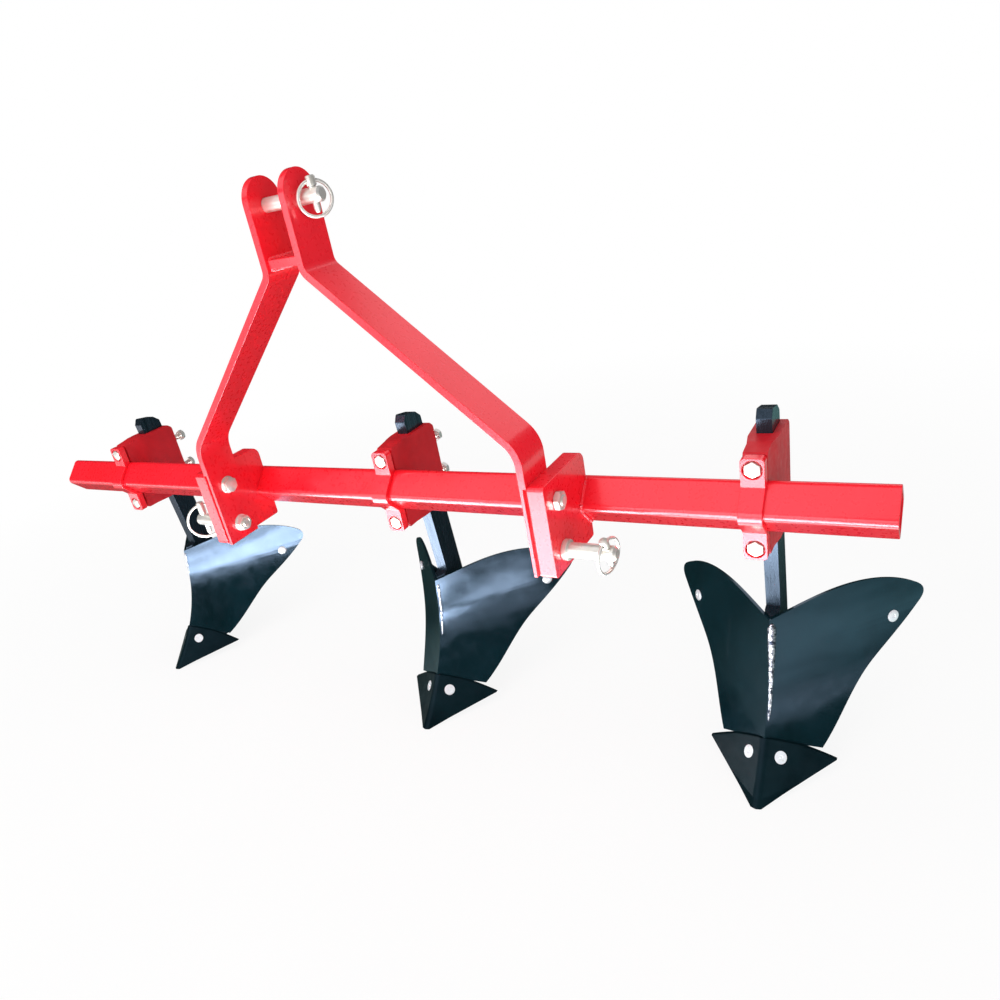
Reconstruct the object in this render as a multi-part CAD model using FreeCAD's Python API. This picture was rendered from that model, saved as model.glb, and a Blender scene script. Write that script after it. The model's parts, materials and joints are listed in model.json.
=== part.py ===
import FreeCAD, Part
import math
import os

V = FreeCAD.Vector

# Three-row potato ridger for a small tractor. Millimetres, +Z up, +X along the toolbar,
# -Y towards the tractor. Everything is first drawn about the toolbar's axis, and moved at the
# end so that the origin is under the middle of the machine, on the ground.

# --- toolbar: square tube set on edge ---
tube_length = 1620.0
tube_side = 55.0
tube_wall = 5.0
tube_corner = 10.0

# --- where things sit along the toolbar ---
row_x = {"left": -630.0, "middle": 68.0, "right": 648.0}
mast_x = 89.0

# --- mast: two bent flat bars and the plate between them ---
mast_bar_width = 65.0
mast_bar_thickness = 10.5
mast_front_y = -134.0
mast_top_gap = 54.0          # clear width between the bars at the top link
mast_foot_gap = 593.0        # clear width between the bars at the toolbar
mast_upper_bend_z = 372.0
mast_lower_bend_z = 120.0
mast_foot_z = -58.0
mast_top_z = 498.0
upper_bend_radius = 16.0      # on the concave side
lower_bend_radius = 42.0
mast_hole_play = 0.3         # between the top pin and its holes, all round
cross_plate_thickness = 12.0
cross_plate_rise = 11.0      # the plate's lower face above the upper bends
cross_plate_setback = 4.0    # behind the bars' front edges

# --- hitch brackets ---
bracket_thickness = 24.0
bracket_top_z = 76.0
bracket_back_y = -3.0
bracket_shoulder = 16.0      # round of its upper back corner
bracket_edge_round = 6.0     # round of its front corners
bracket_foot_round = 4.0     # round of its lower back corner
bracket_bolt_y = -101.0
bracket_bolt_z = 44.0
bracket_bolt_diameter = 16.0
bracket_bolt_across = 24.0   # flats of its head and nut
bracket_bolt_head = 10.0
bracket_nut = 9.0
bracket_bolt_end = 2.0       # thread past the nut

# --- three-point hitch pins ---
lower_pin_y = -100.0
lower_pin_z = -30.0
lower_pin_diameter = 22.0
lower_pin_reach = 75.0       # from the bracket's outer face to the pin's end
lower_pin_collar = 8.0
lower_pin_bearing = 46.0     # full diameter, past the collar
lower_pin_end_diameter = 21.0
collar_diameter = 30.0
lower_pin_nut = 12.0
top_pin_z = 461.0
top_pin_y = -101.0
top_pin_diameter = 19.0
top_pin_head = 27.0
top_pin_head_length = 8.0
top_pin_neck = 2.0           # between the head and the left bar
top_pin_reach = 34.0         # from the right bar's outer face to the pin's end
linch_diameter = 9.0
linch_play = 1.0             # the big pin's hole over the linch pin
linch_head_diameter = 13.0
linch_inset = 14.0           # from the big pin's end to the linch pin's axis
linch_hole_drop = 6.0        # from the linch pin's top to the ring's hinge
ring_wire = 4.5
ring_play = 3.0              # the head's hole over the wire, for the wire's curve
# each linch pin: its length above and below the big pin, its lean towards the tractor and
# the turn of the ring's plane about it, degrees
linch_fit = {"lower_left": (24.0, 18.0, 0.0, -35.0), "lower_right": (14.0, 15.0, 20.0, 12.0),
             "top": (14.0, 12.0, 0.0, 40.0)}

# --- row clamp ---
clamp_gap = 0.3              # clamp faces to the toolbar
clamp_width = 30.0           # ears and arms
strap_thickness = 6.0
clamp_bolt_room = 20.75      # from the toolbar's upper edge to a clamp bolt's axis
ear_rim = 15.5               # from a clamp bolt's axis to the ear's end
ear_front = 18.75            # front of the ears behind the toolbar's front edge
clamp_split = 4.0            # gap between the strap's ears and the body's
clamp_bolt_diameter = 12.0
clamp_bolt_reach = 44.0      # how far back the bolt is screwed in
head_pocket_diameter = 25.0
head_pocket_depth = 8.0
socket_standoff = 15.25      # from the toolbar's back edge to the socket's front
socket_wall = 8.7            # beside the shank
socket_back_wall = 4.5       # behind the leaning shank, at the socket's bottom
socket_above_ears = 4.0
clamp_flare = 24.0           # how far ahead of the socket the arm starts to widen
clamp_back_round = 9.0       # round of the socket's back corners
upper_set_bolt_drop = 38.0   # below the socket's top
lower_set_bolt_rise = 43.0   # above the socket's bottom
set_bolt_diameter = 12.0
set_bolt_reach = 25.0        # from the body's back face to the bolt's head
ear_round = 6.0              # round of the strap's corners, seen from the front

# --- ridging body, heights from the ground ---
toolbar_height = 449.0       # ground to the toolbar's axis
shank_width = 20.0
shank_depth = 48.0           # level, from its front to its back
shank_lean = 4.2             # top towards the tractor, degrees from the vertical
shank_standoff = 30.25       # from the toolbar's back edge to the shank, at the toolbar's height
shank_above_socket = 32.0
heel_rise = 34.0             # from the ground to the foot's back corner
heel_setback = 42.0          # from that corner forward to the end of the flat sole
frog_rise = 8.0              # the block behind the ridge, above the ridge's top
shank_gap = 0.3
wing_thickness = 5.0
wing_ahead = 14.6            # ridge at its top, ahead of the shank at the toolbar's height
wing_ridge_height = 241.0    # ground to the top of the ridge
wing_foot_height = 25.0      # at the ridge
wing_corner_height = 34.5    # at the wing's lower outer corner
wing_sweep = 1.11            # mm back for each mm out, along a level line on the wing
wing_lean = 6.0              # flat upper part, from the vertical, square to the wing, degrees
wing_flat_drop = 47.0        # how far the flat part goes down from the top of the ridge
wing_curve_radius = 360.0    # outer face below the flat part
wing_reach = 183.0           # from the ridge to the wing's outer tip
wing_foot_reach = 72.0       # from the ridge to the wing's lower corner
wing_bolt_inset = 36.5       # from the wing's outer tip, across
wing_bolt_drop = 67.0        # below the top of the ridge
wing_bolt_diameter = 10.0
share_thickness = 3.0
share_height = 76.0          # ground to the share's top
share_half_span = 91.5       # from the ridge to the share's outer tip
share_tip_height = 17.5
share_bow = 2.5              # rise of its top edge at half its reach
plough_bolt_out = 21.0
plough_bolt_height = 43.5
plough_bolt_diameter = 8.0
stay_height = 28.0
stay_thickness = 6.0
stay_bolt_diameter = 12.0
stay_bolt_back = 4.0         # behind the shank's middle


# --- bolt heads across the flats, and their heights ---
m12_across = 19.0
m12_head = 9.0
m12_lock_nut = 6.0
m12_nut = 10.0
m10_across = 16.0
m10_nut = 8.0
m8_across = 13.0
m8_nut = 6.5
thread_past_nut = 3.0
round_head_diameter = 19.0   # carriage bolt in the wing
round_head_height = 2.0
plough_head_diameter = 19.5
plough_head_depth = 2.0

through = 400.0              # longer than any hole that goes right through
touch = 0.01                 # overlap that joins two solids face to face


def moved(shape, x=0.0, y=0.0, z=0.0):
    copy = shape.copy()
    copy.translate(V(x, y, z))
    return copy


def fused(shapes):
    result = shapes[0]
    if len(shapes) > 1:
        result = shapes[0].multiFuse(shapes[1:])
    return result.removeSplitter()


def box(low, high):
    return Part.makeBox(high[0] - low[0], high[1] - low[1], high[2] - low[2], V(*low))


def rod(start, end, diameter):
    axis = V(*end) - V(*start)
    return Part.makeCylinder(diameter / 2, axis.Length, V(*start), axis)


def face_of(points):
    corners = [V(*p) for p in points]
    return Part.Face(Part.makePolygon(corners + corners[:1]))


def plate_x(outline, x_low, x_high):
    """A plate whose outline is (y, z) points, from x_low to x_high."""
    return face_of([(x_low, y, z) for y, z in outline]).extrude(V(x_high - x_low, 0, 0))


def rounded_outline(corners):
    """Closed wire edges through (a, b, radius) corners, in the plane's own coordinates."""
    count = len(corners)
    starts, ends, mids = [], [], []
    for i in range(count):
        here = V(corners[i][0], corners[i][1], 0)
        before = V(corners[i - 1][0], corners[i - 1][1], 0) - here
        after = V(corners[(i + 1) % count][0], corners[(i + 1) % count][1], 0) - here
        radius = corners[i][2]
        before.normalize()
        after.normalize()
        half = before.getAngle(after) / 2
        reach = radius / math.tan(half) if radius else 0.0
        starts.append(here + before * reach)
        ends.append(here + after * reach)
        bisector = before + after
        if radius:
            bisector.normalize()
            mids.append(here + bisector * (radius / math.sin(half) - radius))
        else:
            mids.append(None)
    edges = []
    for i in range(count):
        if mids[i] is not None:
            edges.append(Part.Arc(starts[i], mids[i], ends[i]).toShape())
        following = starts[(i + 1) % count]
        if (following - ends[i]).Length > 1e-6:
            edges.append(Part.LineSegment(ends[i], following).toShape())
    return Part.Wire(edges)


def rounded_plate_x(corners, x_low, x_high):
    """A plate with (y, z, radius) corners, from x_low to x_high."""
    face = Part.Face(rounded_outline(corners))
    face.rotate(V(0, 0, 0), V(1, 1, 1), 120)
    face.translate(V(x_low, 0, 0))
    return face.extrude(V(x_high - x_low, 0, 0))


def hexagon(centre, axis, across, height, turn=0.0):
    """A hexagonal prism from centre along axis."""
    radius = across / math.sqrt(3)
    points = [V(radius * math.cos(math.radians(60 * i + turn)),
                radius * math.sin(math.radians(60 * i + turn)), 0) for i in range(6)]
    prism = Part.Face(Part.makePolygon(points + points[:1])).extrude(V(0, 0, height))
    prism.Placement = FreeCAD.Placement(V(*centre), FreeCAD.Rotation(V(0, 0, 1), V(*axis)))
    return prism


def turned(shape, centre, axis, degrees):
    copy = shape.copy()
    copy.rotate(V(*centre), V(*axis), degrees)
    return copy


def diamond(side, corner, x_low, x_high):
    """A square bar set on edge about the toolbar's axis."""
    half = side / 2
    square = rounded_plate_x([(-half, -half, corner), (half, -half, corner),
                              (half, half, corner), (-half, half, corner)], x_low, x_high)
    return turned(square, (0, 0, 0), (1, 0, 0), 45)


# --- worked out from the sizes above ---
tube_reach = tube_side / math.sqrt(2) - tube_corner * (math.sqrt(2) - 1)
mast_back_y = mast_front_y + mast_bar_width
mast_foot_outer = mast_foot_gap / 2 + mast_bar_thickness
mast_top_outer = mast_top_gap / 2 + mast_bar_thickness
bracket_outer = mast_foot_outer + bracket_thickness
lower_bearing_end = bracket_outer + lower_pin_collar + lower_pin_bearing
lower_pin_end = bracket_outer + lower_pin_reach
lower_linch_x = lower_pin_end - linch_inset
top_pin_end = mast_top_outer + top_pin_reach
top_linch_x = top_pin_end - linch_inset
clamp_bolt_z = tube_reach + clamp_bolt_room
ear_height = clamp_bolt_z + ear_rim
ear_front_y = ear_front - tube_reach
socket_top_z = ear_height + socket_above_ears
socket_bottom_z = -ear_height
set_bolt_z = (socket_top_z - upper_set_bolt_drop, socket_bottom_z + lower_set_bolt_rise)
shank_front_y = tube_reach + shank_standoff
shank_slope = math.tan(math.radians(shank_lean))
shank_top_z = socket_top_z + shank_above_socket
socket_front_y = tube_reach + socket_standoff
socket_back_y = (shank_front_y - socket_bottom_z * shank_slope + shank_depth + shank_gap
                 + socket_back_wall)
ground_z = -toolbar_height
wing_ridge_y = shank_front_y - wing_ahead
wing_ridge_top_z = ground_z + wing_ridge_height
wing_foot_z = ground_z + wing_foot_height
wing_corner_z = ground_z + wing_corner_height
wing_square = math.sqrt(1 + wing_sweep ** 2)
along_wing = V(1 / wing_square, wing_sweep / wing_square, 0)
square_to_wing = V(-wing_sweep / wing_square, 1 / wing_square, 0)
wing_lean_angle = math.radians(wing_lean)
wing_flat_back = wing_ridge_y / wing_square - wing_flat_drop * math.tan(wing_lean_angle)
curve_centre_back = wing_flat_back - wing_curve_radius * math.cos(wing_lean_angle)
curve_centre_z = wing_ridge_top_z - wing_flat_drop + wing_curve_radius * math.sin(wing_lean_angle)
wing_bolt = (wing_reach - wing_bolt_inset, wing_ridge_top_z - wing_bolt_drop)
plough_bolt = (plough_bolt_out, ground_z + plough_bolt_height)
frog_top_z = wing_ridge_top_z + frog_rise


def shank_y(z, behind=0.0):
    """The level place of the leaning shank's front face at z, or of a line behind it."""
    return shank_front_y - z * shank_slope + behind


stay_bolt_y = shank_y(wing_bolt[1], shank_depth / 2 + stay_bolt_back)


def make_toolbar():
    outer = diamond(tube_side, tube_corner, -tube_length / 2, tube_length / 2)
    inner = diamond(tube_side - 2 * tube_wall, tube_corner - tube_wall,
                    -tube_length / 2 - 1, tube_length / 2 + 1)
    return outer.cut(inner)


def mast_centre_line():
    """(x from the mast's middle, z) of the inner face of a mast bar, foot to top."""
    return [(mast_foot_gap / 2, mast_foot_z), (mast_foot_gap / 2, mast_lower_bend_z),
            (mast_top_gap / 2, mast_upper_bend_z), (mast_top_gap / 2, mast_top_z)]


def offset_line(points, distance):
    """The polyline shifted sideways, mitred at its corners."""
    result = []
    for i, (x, z) in enumerate(points):
        directions = []
        if i > 0:
            directions.append(V(x - points[i - 1][0], z - points[i - 1][1], 0).normalize())
        if i + 1 < len(points):
            directions.append(V(points[i + 1][0] - x, points[i + 1][1] - z, 0).normalize())
        normals = [V(d.y, -d.x, 0) for d in directions]
        mean = normals[0] if len(normals) == 1 else (normals[0] + normals[1]).normalize()
        scale = distance / mean.dot(normals[0])
        result.append((x + mean.x * scale, z + mean.y * scale))
    return result


def make_mast_bar(side):
    inner = mast_centre_line()
    outer = offset_line(inner, mast_bar_thickness)
    radii_inner = (0.0, lower_bend_radius, upper_bend_radius + mast_bar_thickness, 0.0)
    radii_outer = (0.0, lower_bend_radius + mast_bar_thickness, upper_bend_radius, 0.0)
    corners = [(x, z, r) for (x, z), r in zip(inner, radii_inner)]
    corners += [(x, z, r) for (x, z), r in reversed(list(zip(outer, radii_outer)))]
    face = Part.Face(rounded_outline(corners))
    face.rotate(V(0, 0, 0), V(1, 0, 0), 90)
    bar = face.extrude(V(0, mast_bar_width, 0))
    bar.translate(V(0, mast_front_y, 0))
    half_width = mast_bar_width / 2
    middle_y = mast_front_y + half_width
    round_z = mast_top_z - half_width
    beyond_round = box((-through, mast_front_y - 1, round_z), (through, mast_back_y + 1, mast_top_z + 1))
    beyond_round = beyond_round.cut(
        rod((-through, middle_y, round_z), (through, middle_y, round_z), mast_bar_width))
    bar = bar.cut(beyond_round)
    bar = bar.cut(rod((0, top_pin_y, top_pin_z), (through, top_pin_y, top_pin_z),
                      top_pin_diameter + 2 * mast_hole_play))
    for y, z in ((bracket_bolt_y, bracket_bolt_z), (lower_pin_y, lower_pin_z)):
        bar = bar.cut(rod((0, y, z), (through, y, z), bracket_bolt_diameter))
    return moved(sided(bar, side), mast_x)


def make_cross_plate():
    half = mast_top_gap / 2
    low_z = mast_upper_bend_z + cross_plate_rise
    plate = box((-half, mast_front_y + cross_plate_setback, low_z),
                (half, mast_back_y, low_z + cross_plate_thickness))
    return moved(plate, mast_x)


def make_bracket(side):
    edge, shoulder = bracket_edge_round, bracket_shoulder
    bracket = rounded_plate_x(
        [(mast_front_y, mast_foot_z, edge), (bracket_back_y, mast_foot_z, bracket_foot_round),
         (bracket_back_y, bracket_top_z, shoulder), (mast_front_y, bracket_top_z, edge)],
        mast_foot_outer, bracket_outer)
    for y, z in ((bracket_bolt_y, bracket_bolt_z), (lower_pin_y, lower_pin_z)):
        bracket = bracket.cut(rod((0, y, z), (through * 2, y, z), bracket_bolt_diameter))
    bracket = bracket.cut(diamond(tube_side, tube_corner, 0, through * 2)).removeSplitter()
    return moved(sided(bracket, side), mast_x)


def make_bracket_bolts():
    inner = mast_foot_gap / 2
    y, z = bracket_bolt_y, bracket_bolt_z
    bolt = fused([
        rod((inner - touch, y, z), (bracket_outer + bracket_nut + bracket_bolt_end, y, z),
            bracket_bolt_diameter),
        hexagon((inner, y, z), (-1, 0, 0), bracket_bolt_across, bracket_bolt_head),
        hexagon((bracket_outer, y, z), (1, 0, 0), bracket_bolt_across, bracket_nut, 12)])
    return Part.makeCompound([moved(sided(bolt, side), mast_x) for side in (1, -1)])


def linch_hole(name, x, y, z):
    """The hole for a linch pin across the big pin on the axis through x, y, z."""
    hole = rod((x, y, z - through), (x, y, z + through), linch_diameter + linch_play)
    lean = linch_fit[name][2]
    return turned(hole, (x, y, z), (1, 0, 0), lean)


def make_lower_pin(side, name):
    inner = mast_foot_gap / 2
    y, z = lower_pin_y, lower_pin_z
    pin = fused([
        rod((inner - lower_pin_nut - 2, y, z), (bracket_outer + 1, y, z), bracket_bolt_diameter),
        hexagon((inner, y, z), (-1, 0, 0), bracket_bolt_across, lower_pin_nut, 20),
        rod((bracket_outer, y, z), (bracket_outer + lower_pin_collar, y, z), collar_diameter),
        rod((bracket_outer, y, z), (lower_bearing_end, y, z), lower_pin_diameter),
        rod((lower_bearing_end - 1, y, z), (lower_pin_end, y, z), lower_pin_end_diameter)])
    pin = pin.cut(linch_hole(name, lower_linch_x, y, z))
    return moved(sided(pin, side), mast_x)


def make_top_pin():
    y, z = top_pin_y, top_pin_z
    head_x = -mast_top_outer - top_pin_neck
    pin = fused([rod((head_x, y, z), (top_pin_end, y, z), top_pin_diameter),
                 rod((head_x - top_pin_head_length, y, z), (head_x + top_pin_neck, y, z), top_pin_head)])
    return moved(pin.cut(linch_hole("top", top_linch_x, y, z)), mast_x)


def make_linch(name, big_diameter):
    """A linch pin through a big pin whose axis is X, and its wire ring.

    The ring hangs in the head's hole and is closed round the big pin.
    """
    above, below, lean, turn = linch_fit[name]
    top, tip = big_diameter / 2 + above, -big_diameter / 2 - below
    hinge_z = top - linch_hole_drop
    linch = fused([rod((0, 0, tip), (0, 0, top), linch_diameter),
                   rod((0, 0, big_diameter / 2 + 1), (0, 0, top), linch_head_diameter)])
    reach = V(0, linch_head_diameter, 0)
    centre = V(0, 0, hinge_z)
    linch = linch.cut(rod(centre - reach, centre + reach, ring_wire + ring_play))
    ring_radius = (hinge_z - tip + ring_wire) / 2
    ring = Part.makeTorus(ring_radius, ring_wire / 2, V(0, 0, hinge_z - ring_radius), V(1, 0, 0))
    placed = []
    for shape in (linch, ring):
        shape = turned(shape, (0, 0, 0), (0, 0, 1), -turn)
        placed.append(turned(shape, (0, 0, 0), (1, 0, 0), lean))
    return placed


def make_clamp_strap():
    half = tube_side / 2 + clamp_gap + strap_thickness
    half_width = clamp_width / 2
    nose = diamond(2 * half, tube_corner + clamp_gap + strap_thickness, -half_width, half_width)
    ears = Part.Face(rounded_outline([(x, z, ear_round) for x, z in (
        (-half_width, -ear_height), (half_width, -ear_height),
        (half_width, ear_height), (-half_width, ear_height))]))
    ears.rotate(V(0, 0, 0), V(1, 0, 0), 90)
    ears.translate(V(0, ear_front_y, 0))
    strap = nose.fuse(ears.extrude(V(0, -ear_front_y, 0)))
    strap = strap.cut(box((-clamp_width, -clamp_split / 2, -through), (clamp_width, through, through)))
    strap = strap.cut(diamond(tube_side + 2 * clamp_gap, tube_corner + clamp_gap,
                              -clamp_width, clamp_width))
    seat_y = ear_front_y + head_pocket_depth
    for z in (clamp_bolt_z, -clamp_bolt_z):
        strap = strap.cut(rod((0, seat_y - 1, z), (0, through, z), clamp_bolt_diameter))
        strap = strap.cut(rod((0, seat_y - through, z), (0, seat_y, z), head_pocket_diameter))
    return strap.removeSplitter()


def make_clamp_body():
    front, back = clamp_split / 2, socket_back_y
    top, bottom = socket_top_z, socket_bottom_z
    arm_half = clamp_width / 2
    socket_half = shank_width / 2 + shank_gap + socket_wall
    rounding = clamp_back_round
    side_view = rounded_plate_x(
        [(front, bottom, 3), (back, bottom, rounding), (back, top - 8, rounding),
         (back - 10, top, rounding), (front + 30, top, 12), (front, ear_height, 3)],
        -socket_half, socket_half)
    flare_start = socket_front_y - clamp_flare
    plan = face_of([(-arm_half, 0, 0), (arm_half, 0, 0), (arm_half, flare_start, 0),
                    (socket_half, socket_front_y, 0), (socket_half, 2 * back, 0),
                    (-socket_half, 2 * back, 0), (-socket_half, socket_front_y, 0),
                    (-arm_half, flare_start, 0)])
    plan.translate(V(0, 0, -through))
    body = side_view.common(plan.extrude(V(0, 0, 2 * through)))
    hole_half = shank_width / 2 + shank_gap
    low, high = -through, through
    body = body.cut(plate_x(
        [(shank_y(low, -shank_gap), low), (shank_y(low, shank_depth + shank_gap), low),
         (shank_y(high, shank_depth + shank_gap), high), (shank_y(high, -shank_gap), high)],
        -hole_half, hole_half))
    body = body.cut(diamond(tube_side + 2 * clamp_gap, tube_corner + clamp_gap, -through, through))
    for z in (clamp_bolt_z, -clamp_bolt_z):
        body = body.cut(rod((0, 0, z), (0, clamp_bolt_reach, z), clamp_bolt_diameter))
    for z in set_bolt_z:
        body = body.cut(rod((0, shank_y(z, shank_depth / 2), z), (0, through, z), set_bolt_diameter))
    return body.removeSplitter()


def make_clamp_bolts():
    seat = ear_front_y + head_pocket_depth
    shapes = []
    for z in (clamp_bolt_z, -clamp_bolt_z):
        shapes.append(fused([rod((0, seat, z), (0, clamp_bolt_reach, z), clamp_bolt_diameter),
                             hexagon((0, seat, z), (0, -1, 0), m12_across, m12_head, 30)]))
    return Part.makeCompound(shapes)


def set_bolt_tip_y(z):
    """Clear of the leaning shank at the bolt's lower edge."""
    return shank_y(z - set_bolt_diameter / 2, shank_depth) + shank_gap


def make_set_bolts():
    head_y = socket_back_y + set_bolt_reach
    shapes = []
    for z in set_bolt_z:
        shapes.append(fused([
            rod((0, set_bolt_tip_y(z), z), (0, head_y, z), set_bolt_diameter),
            hexagon((0, head_y, z), (0, 1, 0), m12_across, m12_head, 30),
            hexagon((0, socket_back_y, z), (0, 1, 0), m12_across, m12_lock_nut, 0)]))
    return Part.makeCompound(shapes)


def wing_angle(z, depth=0.0):
    """The wing's lean at z, on its outer face or depth behind it."""
    sine = (curve_centre_z - z) / (wing_curve_radius + depth)
    return max(wing_lean_angle, math.asin(sine))


def wing_point(x, z, depth=0.0):
    """The point at x and z of the outer face, on the right, or of the face depth behind it."""
    angle = wing_angle(z, depth)
    radius = wing_curve_radius + depth
    start_z = curve_centre_z - radius * math.sin(angle)
    back = curve_centre_back + radius * math.cos(angle) + (z - start_z) * math.tan(angle)
    return V(x, back * wing_square + wing_sweep * x, z)


def wing_normal(z):
    angle = wing_angle(z)
    return square_to_wing * math.cos(angle) - V(0, 0, math.sin(angle))


def on_wing(x, z, depth=0.0):
    """A point on the wing's outer face, or depth behind it, square to the face."""
    return wing_point(x, z) + wing_normal(z) * depth


def ahead_of_wing(depth):
    """All that lies ahead of the face depth behind the wing's outer face."""
    radius = wing_curve_radius + depth

    def curve_at(angle):
        back = square_to_wing * (curve_centre_back + radius * math.cos(angle))
        return back + V(0, 0, curve_centre_z - radius * math.sin(angle))

    end_angle = math.radians(60.0)
    start, end = curve_at(wing_lean_angle), curve_at(end_angle)
    middle = curve_at((wing_lean_angle + end_angle) / 2)
    top = start + square_to_wing * (through * math.sin(wing_lean_angle))
    top += V(0, 0, through * math.cos(wing_lean_angle))
    ahead = square_to_wing * (-2 * through)
    corners = [end, end + ahead, top + ahead, top, start]
    edges = [Part.Arc(start, middle, end).toShape()]
    edges += [Part.LineSegment(a, b).toShape() for a, b in zip(corners, corners[1:])]
    face = Part.Face(Part.Wire(edges))
    face.translate(along_wing * -through)
    return face.extrude(along_wing * 2 * through)


def spline(points):
    curve = Part.BSplineCurve()
    curve.interpolate(points)
    return curve.toShape()


def wing_outline():
    """All that lies square behind or ahead of the wing's outline, carried on past the ridge."""
    reach, top, foot = wing_reach, wing_ridge_top_z, wing_foot_z
    rise = top - foot
    facing = wing_normal(wing_bolt[1])

    def flat(x, z):
        point = wing_point(x, z)
        return point - facing * point.dot(facing)

    past = -30.0
    ridge_top, lap_top = flat(0, top), flat(past, top)
    high, low = flat(0.95 * reach, top - 26), flat(0.965 * reach, top - 60)
    upper = [ridge_top, flat(0.17 * reach, top + 6), flat(0.42 * reach, top + 11.5),
             flat(0.79 * reach, top - 5), high]
    tip = [high, flat(reach, top - 42), low]
    corner = flat(wing_foot_reach, wing_corner_z)
    outer = [low, flat(0.76 * reach, top - 0.486 * rise), flat(0.65 * reach, top - 0.588 * rise),
             flat(0.48 * reach, top - 0.843 * rise), corner]
    foot_corners = [corner, flat(0.67 * wing_foot_reach, wing_corner_z + 12), flat(0, foot),
                    flat(past, foot), lap_top, ridge_top]
    edges = [spline(upper), spline(tip), spline(outer)]
    edges += [Part.LineSegment(a, b).toShape() for a, b in zip(foot_corners, foot_corners[1:])]
    face = Part.Face(Part.Wire(edges))
    face.translate(facing * -through)
    return face.extrude(facing * 2 * through)


def past_ridge():
    return box((-through, -through, ground_z - through), (0, 2 * through, 0))


def mirror_x(shape):
    return shape.mirror(V(0, 0, 0), V(1, 0, 0))


def sided(shape, side):
    """The shape as drawn for the right, or mirrored for the left."""
    return mirror_x(shape) if side < 0 else shape


def wing_hole(place, diameter):
    x, z = place
    return rod(on_wing(x, z, -30), on_wing(x, z, 30), diameter)


def make_wing(side):
    wing = ahead_of_wing(wing_thickness).cut(ahead_of_wing(0)).common(wing_outline())
    wing = wing.cut(past_ridge())
    wing = wing.cut(wing_hole(wing_bolt, wing_bolt_diameter))
    wing = wing.cut(wing_hole(plough_bolt, plough_bolt_diameter))
    return sided(wing, side)


def make_share():
    corners = [V(0, -through, ground_z + share_height), V(0, -through, ground_z),
               V(share_half_span, -through, ground_z + share_tip_height),
               V(share_half_span / 2, -through,
                 ground_z + (share_height + share_tip_height) / 2 + share_bow)]
    half = face_of(corners).extrude(V(0, 2 * through, 0))
    half = half.common(ahead_of_wing(0).cut(ahead_of_wing(-share_thickness)))
    share = half.fuse(mirror_x(half)).removeSplitter()
    x, z = plough_bolt
    sink_end = plough_head_depth - share_thickness
    for side in (1, -1):
        share = share.cut(sided(rod(on_wing(x, z, -40), on_wing(x, z), plough_bolt_diameter), side))
        share = share.cut(sided(rod(on_wing(x, z, -40), on_wing(x, z, sink_end),
                                    plough_head_diameter), side))
    return share


def make_front_void():
    """All that lies in front of the wings' back faces, from the ground to the frog's top."""
    void = ahead_of_wing(wing_thickness).cut(past_ridge())
    void = void.common(box((-through, -through, ground_z - 1), (through, through, frog_top_z + 1)))
    return void.fuse(mirror_x(void))


def make_shank():
    """A leaning flat bar that ends in the frog, the block that the wings are fixed to."""
    top, depth = shank_top_z, shank_depth
    toe = wing_ridge_y
    heel_z = ground_z + heel_rise
    heel = shank_y(heel_z, depth)
    profile = rounded_plate_x(
        [(shank_y(top - 12), top - 12, 3), (shank_y(top, 8), top, 4),
         (shank_y(top - 5, depth - 12), top - 5, 5), (shank_y(top - 16, depth), top - 16, 4),
         (heel, heel_z, 6), (heel - heel_setback, ground_z, 6), (toe - 28, ground_z, 6),
         (toe - 36, ground_z + 10, 3), (toe - 36, ground_z + share_height - 13, 4),
         (toe - 90, ground_z + share_height, 0), (toe - 5, wing_ridge_top_z, 0),
         (shank_y(frog_top_z), frog_top_z, 0)], -shank_width / 2, shank_width / 2)
    shank = profile.cut(make_front_void())
    z = wing_bolt[1]
    shank = shank.cut(rod((-through, stay_bolt_y, z), (through, stay_bolt_y, z), stay_bolt_diameter))
    return shank.removeSplitter()


def make_stays():
    x, z = wing_bolt
    half = stay_height / 2
    side_x = shank_width / 2
    root = box((side_x, stay_bolt_y - 20, z - half),
               (side_x + stay_thickness, stay_bolt_y + 16, z + half))
    normal = wing_normal(z)
    centre = on_wing(x, z, wing_thickness - 1)
    up = normal.cross(along_wing).normalize()
    tab_half = 18.0
    corners = [centre + along_wing * s * tab_half + up * t * half for s, t in
               ((-1, -1), (1, -1), (1, 1), (-1, 1))]
    tab = face_of(corners).extrude(normal * (stay_thickness + 1))
    start = V(side_x, stay_bolt_y + 12, z - half)
    target = on_wing(x - 12, z, wing_thickness + stay_thickness / 2)
    run = V(target.x - start.x, target.y - start.y, 0)
    across = V(-run.y, run.x, 0).normalize() * stay_thickness
    bar = face_of([start, start + run, start + run + across, start + across])
    bar = bar.extrude(V(0, 0, stay_height))
    stay = root.fuse([tab, bar]).cut(ahead_of_wing(wing_thickness))
    stay = stay.cut(box((-through, -through, z - 100), (side_x, through, z + 100)))
    stay = stay.cut(rod(on_wing(x, z), on_wing(x, z, 40), wing_bolt_diameter))
    stay = stay.cut(rod((-through, stay_bolt_y, z), (through, stay_bolt_y, z), stay_bolt_diameter))
    stay = stay.removeSplitter()
    return Part.makeCompound([stay, mirror_x(stay)])


def make_wing_bolt():
    x, z = wing_bolt
    seat = wing_thickness + stay_thickness
    head = rod(on_wing(x, z, -round_head_height), on_wing(x, z, 1), round_head_diameter)
    head = head.common(ahead_of_wing(0))
    return fused([
        rod(on_wing(x, z, -1), on_wing(x, z, seat + m10_nut + thread_past_nut), wing_bolt_diameter),
        head, hexagon(on_wing(x, z, seat), wing_normal(z), m10_across, m10_nut)])


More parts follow.
